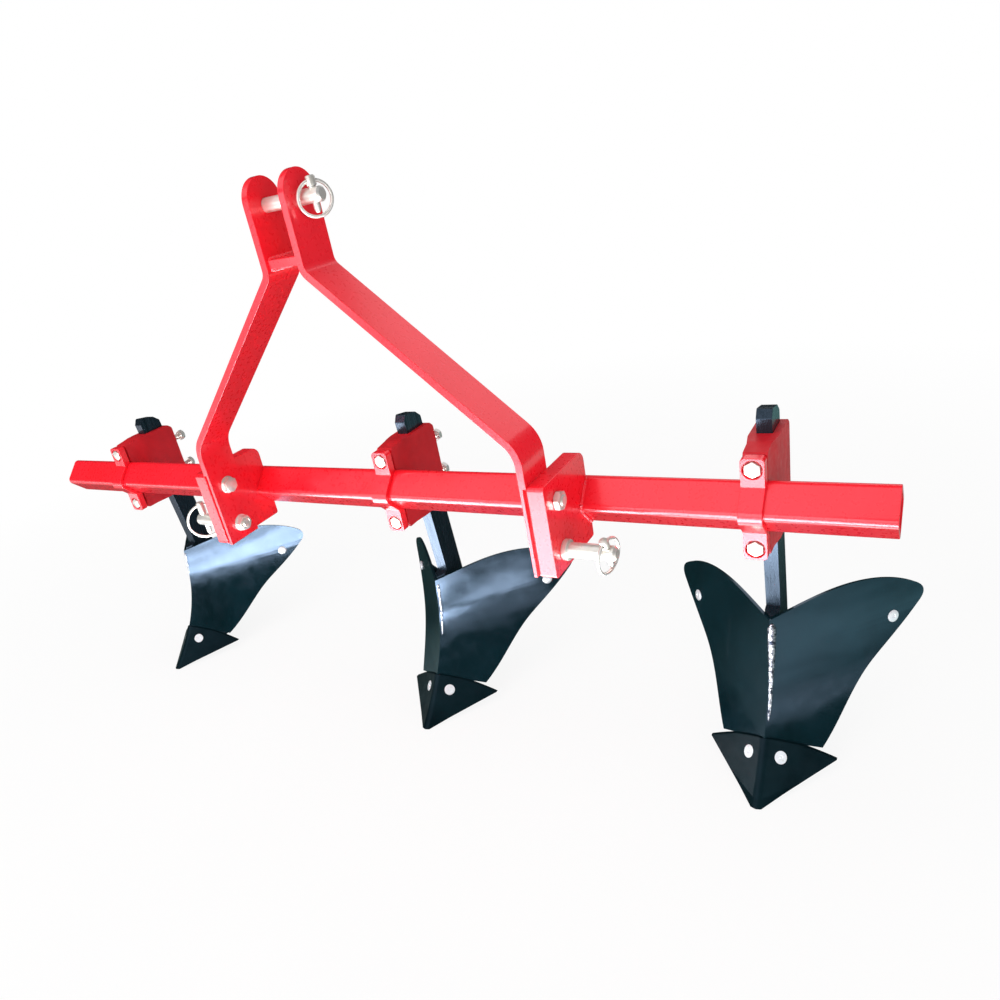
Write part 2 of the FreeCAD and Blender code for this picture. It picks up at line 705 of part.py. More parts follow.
def make_plough_bolt():
    x, z = plough_bolt
    head = on_wing(x, z, -share_thickness)
    end = on_wing(x, z, wing_thickness + m8_nut + thread_past_nut)
    return fused([
        rod(head, end, plough_bolt_diameter),
        rod(head, on_wing(x, z, plough_head_depth - share_thickness), plough_head_diameter),
        hexagon(on_wing(x, z, wing_thickness), wing_normal(z), m8_across, m8_nut)])


def make_stay_bolt():
    y, z = stay_bolt_y, wing_bolt[1]
    outer = shank_width / 2 + stay_thickness
    return fused([
        rod((-outer - m12_nut - thread_past_nut, y, z), (outer, y, z), stay_bolt_diameter),
        hexagon((outer, y, z), (1, 0, 0), m12_across, m12_head),
        hexagon((-outer, y, z), (-1, 0, 0), m12_across, m12_nut)])


def make_body_bolts():
    shapes = [make_stay_bolt()]
    for bolt in (make_wing_bolt(), make_plough_bolt()):
        shapes += [bolt, mirror_x(bolt)]
    return Part.makeCompound(shapes)


def hitch_parts():
    parts = {}

    def add_linch(pre, suf, side, name, big_diameter, place):
        linch, ring = make_linch(name, big_diameter)
        parts[pre + "_linch_pin" + suf] = moved(sided(linch, side), *place)
        parts[pre + "_linch_ring" + suf] = moved(sided(ring, side), *place)

    for name, side in (("left", -1), ("right", 1)):
        parts["mast_bar_" + name] = make_mast_bar(side)
        parts["hitch_bracket_" + name] = make_bracket(side)
        parts["lower_link_pin_" + name] = make_lower_pin(side, "lower_" + name)
        place = (mast_x + side * lower_linch_x, lower_pin_y, lower_pin_z)
        add_linch("lower", "_" + name, side, "lower_" + name, lower_pin_diameter, place)
    parts["mast_cross_plate"] = make_cross_plate()
    parts["bracket_bolts"] = make_bracket_bolts()
    parts["top_link_pin"] = make_top_pin()
    place = (mast_x + top_linch_x, top_pin_y, top_pin_z)
    add_linch("top", "", 1, "top", top_pin_diameter, place)
    return parts


def row_parts():
    """The pieces of one row, in the row's middle plane."""
    return {
        "clamp_body": make_clamp_body(), "clamp_strap": make_clamp_strap(),
        "clamp_bolts": make_clamp_bolts(), "set_bolts": make_set_bolts(),
        "shank": make_shank(), "wing_left": make_wing(-1), "wing_right": make_wing(1),
        "share": make_share(), "stays": make_stays(), "body_bolts": make_body_bolts()}


parts = {"toolbar": make_toolbar()}
parts.update(hitch_parts())
one_row = row_parts()
for row, x in row_x.items():
    for piece, shape in one_row.items():
        parts[piece + "_" + row] = moved(shape, x)

whole = Part.makeCompound(list(parts.values())).BoundBox
origin = V((whole.XMin + whole.XMax) / 2, (whole.YMin + whole.YMax) / 2, ground_z)
os.makedirs("parts", exist_ok=True)
for name, shape in parts.items():
    shape = moved(shape, *(-origin))
    shape.exportStep("parts/" + name + ".step")
    print(name, len(shape.Solids), round(shape.Volume / 1000, 1), shape.isValid())
print("toolbar axis", *(-origin))
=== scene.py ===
import json
import math
import random

import bmesh
import bpy
from mathutils import Matrix, Vector


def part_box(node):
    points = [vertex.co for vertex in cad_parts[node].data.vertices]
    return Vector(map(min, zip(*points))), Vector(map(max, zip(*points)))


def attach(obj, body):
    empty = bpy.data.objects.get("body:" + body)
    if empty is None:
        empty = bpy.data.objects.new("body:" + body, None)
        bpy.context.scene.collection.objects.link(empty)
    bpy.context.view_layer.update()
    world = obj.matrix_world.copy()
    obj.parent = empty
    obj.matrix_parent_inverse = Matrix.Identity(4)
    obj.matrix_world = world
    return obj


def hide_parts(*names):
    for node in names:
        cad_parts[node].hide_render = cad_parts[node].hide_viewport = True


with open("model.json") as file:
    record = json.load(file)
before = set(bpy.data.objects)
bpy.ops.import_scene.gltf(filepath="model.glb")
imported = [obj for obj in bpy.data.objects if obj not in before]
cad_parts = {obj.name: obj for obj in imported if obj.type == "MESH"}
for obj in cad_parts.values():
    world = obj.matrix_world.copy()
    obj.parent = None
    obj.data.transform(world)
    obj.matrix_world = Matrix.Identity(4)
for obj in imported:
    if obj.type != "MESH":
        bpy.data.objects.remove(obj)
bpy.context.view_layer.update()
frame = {"nodes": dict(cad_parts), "record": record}

# The look of a three-row potato ridger, built round its CAD frame: +X runs along the toolbar, the
# tractor is on the -Y side and +Z is up. The scene is in metres, and so are the stage's sizes. The
# object's named sizes, and places measured from AXIS, MAST or a ROW, are in millimetres.

scene = bpy.context.scene
MM = 0.001
X, Y, Z = Vector((1, 0, 0)), Vector((0, 1, 0)), Vector((0, 0, 1))
ROWS = ("left", "middle", "right")
SIDES = {"left": -1, "right": 1}


def middle(node):
    low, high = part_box(node)
    return (low + high) / 2


def place(base, x, y, z):
    """A point given in millimetres from base."""
    return base + Vector((x, y, z)) * MM


# ---------------------------------------------------------------- places and sizes

AXIS = middle("toolbar")          # on the toolbar's axis, half way along
MAST = Vector(((middle("mast_bar_left").x + middle("mast_bar_right").x) / 2, AXIS.y, AXIS.z))
ROW = {row: Vector((middle("shank_" + row).x, AXIS.y, AXIS.z)) for row in ROWS}

# faces of the right-hand side, from the mast's middle; the left is its mirror image
BRACKET_IN, BRACKET_OUT = [(corner.x - MAST.x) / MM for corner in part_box("hitch_bracket_right")]
MAST_BAR = 10.5                   # thickness
FOOT_IN = BRACKET_IN - MAST_BAR   # a mast bar's inner face at its foot
TOP_OUT = 37.5                    # its outer face at the top
SOCKET_BACK = (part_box("clamp_body_middle")[1].y - AXIS.y) / MM

# bolts, by thread diameter
FLATS = {16: 24, 12: 19, 10: 16, 8: 13}        # across a head or a nut
HEAD = {16: 10, 12: 9}
NUT = {16: 9, 12: 10, 10: 8, 8: 6.5}
PITCH = {16: 2.0, 12: 1.75, 10: 1.5, 8: 1.25}
LOCK_NUT, PIN_NUT = 6, 12         # the set bolts' M12 and the lower link pins' M16
THREAD_FROM = 30                  # plain length of the bracket bolts and the shank bolts
SUNK = 0.5                        # how far a bolt's shank starts inside its head
BODY_BOLT_END = 3                 # thread past a nut on a ridging body
HITCH_END = 2                     # thread past a nut of the hitch
NUT_BORE = 8                      # radius of the hole that shows in a nut of the hitch
PIN_THREAD = 15.6                 # diameter of a lower link pin's thread where it leaves its nut

# where the bolts are: back from the axis and up, or out from the row's middle and up
CLAMP_BOLT_Y, CLAMP_BOLT_Z = -8, 55.5          # on the floor of the head's pocket
CLAMP_BOLT_LENGTH = 51
SET_BOLT_TIPS = {37: 111.4, -28: 116.2}        # height of each, and where its tip stops
SET_BOLT_REACH = 25                            # from the socket's back to the head
SET_BOLT_NECK = 2.5                            # plain length under the head
BRACKET_BOLT_Y, BRACKET_BOLT_Z = -101, 44
SHANK_BOLT_Y, SHANK_BOLT_Z = 113.2, -275
WING_BOLT_X, WING_BOLT_Z = 146.5, -275
PLOUGH_BOLT_X, PLOUGH_BOLT_Z = 21, -405.5

# hitch pins
LOWER_PIN, TOP_PIN = 22, 19                    # diameters
LOWER_PIN_Y, LOWER_PIN_Z = -100, -30
LOWER_PIN_REACH = 75                           # past the bracket
COLLAR, COLLAR_LENGTH = 30, 8
TOP_PIN_Y, TOP_PIN_Z = -101, 461
TOP_PIN_REACH = 34                             # past the mast bar
LINCH_PIN, LINCH_HEAD, RING_WIRE = 9, 13, 4.5  # diameters
LINCH_HOLE, RING_HOLE = 10, 7.5
LINCH_INSET = 14                               # from a big pin's end to its linch pin
HINGE_DROP = 6                                 # from a linch pin's top to its ring's hinge
# each linch pin: its big pin's diameter, its own length above and below that pin, and the turn of
# its ring's plane in degrees
LINCH = {"left": (LOWER_PIN, 24, 18, -35), "right": (LOWER_PIN, 14, 15, 12),
         "top": (TOP_PIN, 14, 12, 40)}
LINCH_LEAN = {"left": 0, "right": 20, "top": 0}   # towards the tractor, degrees

# ridging bodies
SHANK = 20                        # width, along the toolbar
WING, STAY, SHARE = 5, 6, 3       # thicknesses
# a wing's outer face: flat at the top and rolled to one radius below
WING_SWEEP = 1.11                 # back for each millimetre out, along a level line
WING_LEAN = math.radians(6)       # of the flat part, from the vertical
WING_FLAT = 47.0                  # how far down the flat part goes
WING_RADIUS = 360.0
RIDGE_Y, RIDGE_TOP = 50.4, -208.0

# edges and points of the meshes
SMOOTH = 34.0                     # degrees: a sharper edge stays crisp
SMOOTH_METAL = 40.0               # the same for fasteners and for meshes that were cut
SMOOTH_BEAD = 50.0
SMOOTH_WIRE = 60.0
ROUNDED = math.radians(30)        # a CAD edge sharper than this is rounded
SAME_PLANE = math.radians(1.0)    # CAD faces closer than this become one
SAME_POINT, SAME_ROUNDED_POINT, SAME_FORM_POINT = 0.02 * MM, 0.002 * MM, 0.001 * MM
SHARE_FOLD = 9.0                  # width of the round along the fold of a share
GROOVE = 5.5                      # gap where a mast bar's front edge meets its bracket
DRILL = 60.0                      # length of the form that bores a pin
RIPPLE = 2.2                      # length of one ripple of a weld bead
BEAD_OFFSET = 0.8                 # from a face to the middle line of its bead


# ---------------------------------------------------------------- materials

class Shading:
    """A material's node tree, built line by line."""

    def __init__(self, name):
        self.material = bpy.data.materials.new(name)
        self.material.use_nodes = True
        self.tree = self.material.node_tree
        self.shader = self.tree.nodes["Principled BSDF"]
        self.where = self.add("ShaderNodeTexCoord").outputs["Object"]

    def add(self, kind, **settings):
        node = self.tree.nodes.new(kind)
        for key, value in settings.items():
            setattr(node, key, value)
        return node

    def link(self, a, b):
        self.tree.links.new(a, b)

    def set(self, **values):
        for key, value in values.items():
            self.shader.inputs[key.replace("_", " ")].default_value = value

    def stretched(self, scale):
        """The place on the object, scaled along each axis."""
        node = self.add("ShaderNodeMapping")
        node.inputs["Scale"].default_value = scale
        self.link(self.where, node.inputs["Vector"])
        return node.outputs["Vector"]

    def noise(self, scale, detail=2.0, rough=0.5, distortion=0.0, where=None):
        """Noise with about scale patches to the metre and detail finer layers of it."""
        node = self.add("ShaderNodeTexNoise")
        for key, value in (("Scale", scale), ("Detail", detail), ("Roughness", rough),
                           ("Distortion", distortion)):
            node.inputs[key].default_value = value
        self.link(where or self.where, node.inputs["Vector"])
        return node.outputs["Fac"]

    def spread(self, value, low, high, to_low=0.0, to_high=1.0):
        """The value's range from low to high, spread over another range and held at its ends."""
        node = self.add("ShaderNodeMapRange")
        for key, v in (("From Min", low), ("From Max", high), ("To Min", to_low),
                       ("To Max", to_high)):
            node.inputs[key].default_value = v
        self.link(value, node.inputs["Value"])
        return node.outputs["Result"]

    def blend(self, factor, a, b):
        """From a to b, each a colour or an output."""
        node = self.add("ShaderNodeMix", data_type="RGBA")
        sockets = [s for s in node.inputs if s.type == "RGBA"]
        for socket, value in zip(sockets, (a, b)):
            if isinstance(value, tuple):
                socket.default_value = value + (1.0,)
            else:
                self.link(value, socket)
        self.link(factor, node.inputs["Factor"])
        return [s for s in node.outputs if s.type == "RGBA"][0]

    def join(self, operation, a, b):
        """Two outputs, multiplied or compared."""
        node = self.add("ShaderNodeMath", operation=operation)
        self.link(a, node.inputs[0])
        self.link(b, node.inputs[1])
        return node.outputs[0]

    def colour(self, value):
        self.link(value, self.shader.inputs["Base Color"])

    def roughness(self, noise, at_low, at_high):
        """Roughness that follows a noise."""
        self.link(self.spread(noise, 0.3, 0.7, at_low, at_high), self.shader.inputs["Roughness"])

    def bumps(self, *layers):
        """Layers of (height output, distance in metres, strength), stacked into one normal."""
        normal = None
        for height, distance, strength in layers:
            node = self.add("ShaderNodeBump")
            node.inputs["Strength"].default_value = strength
            node.inputs["Distance"].default_value = distance
            self.link(height, node.inputs["Height"])
            if normal is not None:
                self.link(normal, node.inputs["Normal"])
            normal = node.outputs["Normal"]
        self.link(normal, self.shader.inputs["Normal"])
        self.link(normal, self.shader.inputs["Coat Normal"])


BLUE_SHINE = (0.50, 0.69, 1.0, 1.0)            # the tint of what the paints mirror
PINK_SHINE = (1.0, 0.74, 0.92, 1.0)
CAST_SHINE = (1.0, 0.70, 0.85, 1.0)


def red_paint():
    deep, bright, dulled = (0.92, 0.007, 0.017), (0.97, 0.010, 0.025), (0.70, 0.008, 0.014)
    m = Shading("red gloss paint")
    patches = m.spread(m.noise(9, 3, 0.55), 0.35, 0.65)
    worn = m.spread(m.noise(20, 2, 0.5, 0.8), 0.60, 0.78, 0.0, 0.14)
    m.colour(m.blend(worn, m.blend(patches, deep, bright), dulled))
    m.roughness(m.noise(160, 2, 0.5), 0.26, 0.32)
    waves, orange_peel = m.noise(16, 1, 0.4), m.noise(95, 1, 0.4)
    m.bumps((waves, 0.0014, 0.14), (orange_peel, 0.0004, 0.08))
    m.set(IOR=1.6, Specular_Tint=PINK_SHINE, Coat_Weight=0.5, Coat_Roughness=0.12)
    return m.material


# A rougher, duller red for the clamp bodies. The roughness is the casting's own finish; the darker red
# is painted shade for their shaded sides.
def shaded_cast_paint():
    deep, bright = (0.50, 0.004, 0.009), (0.66, 0.007, 0.014)
    m = Shading("red casting paint with painted shade")
    m.colour(m.blend(m.spread(m.noise(14, 4, 0.6, 0.5), 0.32, 0.68), deep, bright))
    m.roughness(m.noise(90, 3, 0.6), 0.36, 0.52)
    lumps, grain = m.noise(30, 3, 0.6), m.noise(110, 2, 0.5)
    m.bumps((lumps, 0.0016, 0.25), (grain, 0.0005, 0.12))
    m.set(IOR=1.45, Specular_Tint=CAST_SHINE)
    return m.material


def black_paint():
    deep, pale, dust_and_sheen = (0.0010, 0.0110, 0.0135), (0.0036, 0.0215, 0.0290), (0.010, 0.026, 0.034)
    m = Shading("black gloss paint")
    # paler bluish patches and long upright streaks, placed at random: dust, and a painted sheen
    patches = m.spread(m.noise(7, 4, 0.6, 0.6), 0.32, 0.68)
    streaks = m.spread(m.noise(3.2, 5, 0.65, 1.2, m.stretched((9, 9, 1.4))), 0.60, 0.76)
    m.colour(m.blend(streaks, m.blend(patches, deep, pale), dust_and_sheen))
    m.roughness(m.noise(36, 4, 0.6), 0.10, 0.20)
    dents, rolled = m.noise(9, 2, 0.5), m.noise(4.5, 1, 0.4, 0.3, m.stretched((1.0, 1.0, 4.0)))
    m.bumps((dents, 0.006, 0.26), (rolled, 0.006, 0.22), (m.noise(330, 2, 0.5), 0.0002, 0.10))
    m.set(IOR=1.85, Specular_Tint=BLUE_SHINE)
    return m.material


def shank_paint():
    deep, pale = (0.0015, 0.0070, 0.0085), (0.016, 0.024, 0.034)
    m = Shading("black paint on rolled bar")
    streaks = m.noise(60, 4, 0.65, 0.3, m.stretched((5, 5, 0.16)))
    m.colour(m.blend(m.spread(streaks, 0.35, 0.70), deep, pale))
    m.roughness(streaks, 0.36, 0.20)
    m.bumps((streaks, 0.0006, 0.30), (m.noise(300, 2, 0.5), 0.0002, 0.2))
    m.set(IOR=1.65, Specular_Tint=BLUE_SHINE)
    return m.material


def share_paint():
    deep, pale = (0.0008, 0.0065, 0.0085), (0.0025, 0.0125, 0.0160)
    m = Shading("black satin paint")
    m.colour(m.blend(m.spread(m.noise(14, 4, 0.6, 0.4), 0.35, 0.68), deep, pale))
    m.roughness(m.noise(60, 4, 0.6), 0.32, 0.46)
    m.bumps((m.noise(16, 2, 0.5), 0.003, 0.15), (m.noise(380, 2, 0.5), 0.0002, 0.12))
    m.set(IOR=1.34, Specular_IOR_Level=0.3, Specular_Tint=BLUE_SHINE)
    return m.material


def zinc_plate(name, metallic, light, warm):
    dull = (0.55, 0.56, 0.53)
    m = Shading(name)
    tint = m.spread(m.noise(70, 3, 0.6, 0.5), 0.35, 0.65)
    spots = m.spread(m.noise(230, 3, 0.6), 0.62, 0.80)
    m.colour(m.blend(spots, m.blend(tint, light, warm), dull))
    m.roughness(m.noise(150, 3, 0.6), 0.28, 0.42)
    m.bumps((m.noise(260, 3, 0.6), 0.0002, 0.15))
    m.set(Metallic=metallic)
    return m.material


def bare_weld():
    burnt, bright = (0.03, 0.04, 0.07), (0.86, 0.88, 0.95)
    m = Shading("weld metal")
    m.colour(m.blend(m.spread(m.noise(170, 4, 0.75, 0.8), 0.42, 0.60), burnt, bright))
    m.roughness(m.noise(500, 2, 0.5), 0.22, 0.45)
    m.bumps((m.noise(650, 3, 0.6), 0.0005, 0.6))
    m.set(Metallic=0.85)
    return m.material


# each finish: a material, and the slot in the record that it belongs to
# the second red, used on the clamp bodies, is darkened as painted shade
red, shaded_cast_red = (red_paint(), "red_paint"), (shaded_cast_paint(), "red_paint")
black, shank_black = (black_paint(), "black_paint"), (shank_paint(), "black_paint")
share_black = (share_paint(), "share_black")
bright_zinc = (zinc_plate("zinc plated steel", 0.60, (0.82, 0.81, 0.79), (0.78, 0.75, 0.68)),
               "zinc_plate")
# the body bolts' heads get a paler, bluish and less metallic copy of the zinc, a painted sheen that
# keeps them white where true zinc would mirror dark
lit_head_zinc = (zinc_plate("zinc plated heads with painted sheen", 0.30, (0.90, 0.94, 1.0), (0.86, 0.90, 0.94)),
             "zinc_plate")
weld_metal = (bare_weld(), "zinc_plate")


# ---------------------------------------------------------------- building pieces

def put(name, data):
    """An object in the scene that shows a mesh, a lamp or a camera."""
    item = bpy.data.objects.new(name, data)
    scene.collection.objects.link(item)
    return item


def add_piece(name, mesh, finish, body):
    """A mesh as a piece of the object, riding on a body."""
    material, slot = finish
    mesh.materials.clear()
    mesh.materials.append(material)
    piece = put(name, mesh)
    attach(piece, body)
    return piece


def body_of(node):
    for body, members in frame["record"]["behaviour"]["bodies"].items():
        if node in members:
            return body
    raise KeyError(node)


def stand_in(name, node, mesh, finish):
    """A piece that is shown in place of a CAD node, on the same body."""
    piece = add_piece(name, mesh, finish, body_of(node))
    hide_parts(node)
    return piece


def shade(mesh, sharp_degrees=SMOOTH):
    """Smooth faces, with the edges sharper than the angle kept crisp."""
    bm = bmesh.new()
    bm.from_mesh(mesh)
    limit = math.radians(sharp_degrees)
    for face in bm.faces:
        face.smooth = True
    for edge in bm.edges:
        edge.smooth = len(edge.link_faces) == 2 and edge.calc_face_angle(0.0) < limit
    bm.to_mesh(mesh)
    bm.free()


def bevel(bm, edges, width, segments):
    bmesh.ops.bevel(bm, geom=edges, offset=width * MM, offset_type="OFFSET", segments=segments,
                    profile=0.5, affect="EDGES", clamp_overlap=True)


def softened(node, finish, width, segments=2, fold_x=None):
    """The CAD node's shape with its edges rounded, and a share's fold rounded more."""
    mesh = frame["nodes"][node].data.copy()
    bm = bmesh.new()
    bm.from_mesh(mesh)
    bmesh.ops.remove_doubles(bm, verts=bm.verts, dist=SAME_POINT)
    bmesh.ops.dissolve_limit(bm, angle_limit=SAME_PLANE, verts=bm.verts, edges=bm.edges)
    if fold_x is not None:
        near = 0.05 * MM
        fold = [e for e in bm.edges if all(abs(v.co.x - fold_x) < near for v in e.verts)]
        bevel(bm, fold, SHARE_FOLD, 4)
    sharp = [e for e in bm.edges if len(e.link_faces) == 2 and e.calc_face_angle(0.0) > ROUNDED]
    bevel(bm, sharp, width, segments)
    bmesh.ops.remove_doubles(bm, verts=bm.verts, dist=SAME_ROUNDED_POINT)
    bm.to_mesh(mesh)
    bm.free()
    shade(mesh)
    piece = stand_in(node + ".shaped", node, mesh, finish)
    normals = piece.modifiers.new("even normals", "WEIGHTED_NORMAL")
    normals.keep_sharp = True
    normals.weight = 80
    return piece


class Form:
    """Vertices and faces gathered in metres, made into one mesh at the end."""

    def __init__(self):
        self.points, self.faces = [], []

    def grid(self, rings, closed=True, caps=True):
        """Rings of equal length, joined one to the next."""
        start, count = len(self.points), len(rings[0])
        for ring in rings:
            self.points += [tuple(p) for p in ring]
        last = count if closed else count - 1
        for i in range(len(rings) - 1):
            for j in range(last):
                k = (j + 1) % count
                a, b = start + i * count, start + (i + 1) * count
                self.faces.append((a + j, a + k, b + k, b + j))
        if caps:
            self.faces.append(tuple(start + j for j in reversed(range(count))))
            end = start + (len(rings) - 1) * count
            self.faces.append(tuple(end + j for j in range(count)))

    def mesh(self, name, sharp=SMOOTH):
        mesh = bpy.data.meshes.new(name)
        mesh.from_pydata(self.points, [], self.faces)
        bm = bmesh.new()
        bm.from_mesh(mesh)
        bmesh.ops.remove_doubles(bm, verts=bm.verts, dist=SAME_FORM_POINT)
        bmesh.ops.recalc_face_normals(bm, faces=bm.faces)
        bm.to_mesh(mesh)
        bm.free()
        shade(mesh, sharp)
        return mesh


def round_angles(steps):
    return [2 * math.pi * i / steps for i in range(steps)]


def square_axes(axis):
    """The axis and two directions square to it and to each other, of length one."""
    axis = axis.normalized()
    side = axis.cross(Z if abs(axis.z) < 0.9 else X).normalized()
    return axis, side, axis.cross(side).normalized()


def turned_point(base, axes, radius, height, angle):
    """A point round the first of three axes, its radius and height in millimetres."""
    axis, side, up = axes
    return base + (axis * height + side * (radius * math.cos(angle)) +
                   up * (radius * math.sin(angle))) * MM


def turned_form(form, base, axis, profile, steps=48):
    """A turned shape: profile is (radius, height along axis) in millimetres."""
    axes = square_axes(axis)
    form.grid([[turned_point(base, axes, radius, height, angle) for angle in round_angles(steps)]
               for radius, height in profile])


def hexagon_form(form, base, axis, across, height, turn=0.0, both=True, bore=0.0):
    """A bolt head or nut on base, growing along axis, chamfered at the far end or at both."""
    axes = square_axes(axis)
    steps, sixth, sink = 72, math.radians(60), 0.8
    half, cone = across / 2, math.tan(math.radians(30))
    flat_radius = 0.94 * half     # of the round end face inside the chamfer

    def ring(radius_of, height_of):
        points = []
        for angle in round_angles(steps):
            corner = half / math.cos((angle + sixth / 2) % sixth - sixth / 2)
            points.append(turned_point(base, axes, radius_of(corner), height_of(corner),
                                       angle + math.radians(turn)))
        return points

    low = (lambda c: (c - flat_radius) * cone) if both else (lambda c: 0.0)
    rings = [ring(lambda c: flat_radius, lambda c: 0.0), ring(lambda c: c, low),
             ring(lambda c: c, lambda c: height - (c - flat_radius) * cone),
             ring(lambda c: flat_radius, lambda c: height)]
    if bore:
        rings.append(ring(lambda c: bore + sink, lambda c: height))
        rings.append(ring(lambda c: bore, lambda c: height - sink))
    form.grid(rings)


def thread_form(form, base, axis, diameter, length, pitch):
    """A threaded end, from base along axis, with a chamfered tip."""
    axes = square_axes(axis)
    steps, rings_per_turn = 24, 6
    depth, chamfer = 0.6 * pitch, 0.9 * pitch
    count = max(rings_per_turn, int(length / pitch * rings_per_turn))
    rings = []
    for i in range(count + 1):
        h = length * i / count
        tip = diameter / 2 - max(0.0, h - (length - chamfer))
        points = []
        for j, angle in enumerate(round_angles(steps)):
            phase = (h / pitch - j / steps) % 1.0
            radius = diameter / 2 - depth * (1 - abs(2 * phase - 1))
            points.append(turned_point(base, axes, min(radius, tip), h, angle))
        rings.append(points)
    form.grid(rings)


def ring_form(form, centre, normal, radius, wire):
    """A closed ring of round wire; wire is the wire's radius."""
    _, side, up = square_axes(normal)
    round_ring, round_wire = round_angles(96), round_angles(16)
    rings = []
    for t in round_ring:
        out = side * math.cos(t) + up * math.sin(t)
        rings.append([centre + (out * (radius + wire * math.cos(s)) + normal * (wire * math.sin(s))) * MM
                      for s in round_wire])
    form.grid(rings + rings[:1], caps=False)


def bead_form(form, path, radius, seed, flat, taper):
    """A weld bead: overlapping ripples along a path of points in metres."""
    rng = random.Random(seed)
    lengths = [0.0]
    for a, b in zip(path, path[1:]):
        lengths.append(lengths[-1] + (b - a).length / MM)
    total = lengths[-1]
    rings_per_ripple = 5
    count = max(8, int(total / RIPPLE * rings_per_ripple))
    rings = []
    wobble = rng.random() * 6.0
    for i in range(count + 1):
        s = total * i / count
        k = max(j for j in range(len(lengths) - 1) if lengths[j] <= s + 1e-6)
        span = lengths[k + 1] - lengths[k]
        centre = path[k].lerp(path[k + 1], (s - lengths[k]) / span if span else 0.0)
        along, side, up = square_axes(path[k + 1] - path[k])
        phase = (s / RIPPLE) % 1.0
        ripple = 1.0 + 0.10 * math.sin(math.pi * phase) + 0.05 * math.sin(s * 0.9 + wobble)
        end = min(1.0, 0.35 + 0.65 * min(s, total - s) / (1.2 * radius))
        r = radius * ripple * end * (1 + rng.uniform(-0.03, 0.03)) * (1 - taper * s / total)
        lean = along * (0.35 * r * (0.5 - phase))
        rings.append([centre + (side * (r * math.cos(t)) + up * (r * flat * math.sin(t)) + lean) * MM
                      for t in round_angles(10)])
    form.grid(rings)


def cut_away(mesh, form):
    """The mesh with a form taken out of it."""
    tool, work = put("tool", form.mesh("tool")), put("work", mesh)
    cut = work.modifiers.new("hole", "BOOLEAN")
    cut.operation, cut.solver, cut.object = "DIFFERENCE", "EXACT", tool
    done = bpy.data.meshes.new_from_object(work.evaluated_get(bpy.context.evaluated_depsgraph_get()))
    for item in (tool, work):
        bpy.data.objects.remove(item)
    done.name = mesh.name + ".cut"
    shade(done, SMOOTH_METAL)
    return done


def bored(mesh, centre, axis, diameter):
    """The mesh with a hole through it."""
    drill = Form()
    turned_form(drill, centre, axis, [(diameter / 2, -DRILL / 2), (diameter / 2, DRILL / 2)],
                steps=32)
    return cut_away(mesh, drill)


# ---------------------------------------------------------------- painted steelwork

def grooved(piece, side):
    """Cuts back a mast bar's outer front corner, from its foot to the bracket's front top."""
    bracket = "hitch_bracket_" + side
    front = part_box(bracket)[0].y
    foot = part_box("mast_bar_" + side)[0].z
    front_top = max(v.co.z for v in frame["nodes"][bracket].data.vertices if v.co.y < front + 1 * MM)
    past = 2                      # the cut reaches this far past the faces
    corner = [(-GROOVE, -past), (past, -past), (past, GROOVE), (-GROOVE, GROOVE)]
    cut = Form()
    cut.grid([[Vector((MAST.x + SIDES[side] * (BRACKET_IN + x) * MM, front + y * MM, z))
               for x, y in corner] for z in (foot - past * MM, front_top)])
    piece.data = cut_away(piece.data, cut)


softened("toolbar", red, width=0.8)
for side in SIDES:
    grooved(softened("mast_bar_" + side, red, width=1.3, segments=3), side)
    softened("hitch_bracket_" + side, red, width=1.2, segments=3)
softened("mast_cross_plate", red, width=1.0)
for row in ROWS:
    softened("clamp_body_" + row, shaded_cast_red, width=2.2, segments=3)
    softened("clamp_strap_" + row, red, width=1.6, segments=3)
    softened("shank_" + row, shank_black, width=1.6, segments=3)
    softened("stays_" + row, black, width=1.0)
    for side in SIDES:
        softened("wing_%s_%s" % (side, row), black, width=0.9)
    softened("share_" + row, share_black, width=0.7, fold_x=ROW[row].x)


# ---------------------------------------------------------------- bolts and pins

def hex_bolt(form, base, axis, diameter, length, thread_from=None):
    """A hexagon head on base, its shank running the other way, with thread beyond thread_from."""
    hexagon_form(form, base, axis, FLATS[diameter], HEAD[diameter], both=False)
    plain = length if thread_from is None else thread_from
    turned_form(form, base, -axis, [(diameter / 2, -SUNK), (diameter / 2, plain)], steps=32)
    if thread_from is not None:
        thread_form(form, base - axis * (plain * MM), -axis, diameter, length - plain,
                    PITCH[diameter])


def hex_nut(form, base, axis, diameter, height=None, turn=0.0, bore=0.0):
    """A nut on base; bore is the radius of the thread that shows in its far end."""
    hexagon_form(form, base, axis, FLATS[diameter], height or NUT[diameter], turn, bore=bore)


def washer(form, base, axis):
    """An M16 washer."""
    turned_form(form, base, axis, [(14.6, -0.2), (15, 0.2), (15, 1.2), (14.5, 1.6), (8, 1.6)])


def fastener(node, form, metal=bright_zinc):
    """Bright fasteners, one piece for each CAD node."""
    name = node + ".turned"
    stand_in(name, node, form.mesh(name, SMOOTH_METAL), metal)


def clamp_bolts(row):
    form = Form()
    for z in (CLAMP_BOLT_Z, -CLAMP_BOLT_Z):
        hex_bolt(form, place(ROW[row], 0, CLAMP_BOLT_Y, z), -Y, 12, CLAMP_BOLT_LENGTH)
    return form


def set_bolts(row):
    form = Form()
    under_head = SOCKET_BACK + SET_BOLT_REACH
    for z, tip in SET_BOLT_TIPS.items():
        hex_bolt(form, place(ROW[row], 0, under_head, z), Y, 12, under_head - tip, SET_BOLT_NECK)
        hex_nut(form, place(ROW[row], 0, SOCKET_BACK, z), Y, 12, LOCK_NUT, turn=30)
    return form


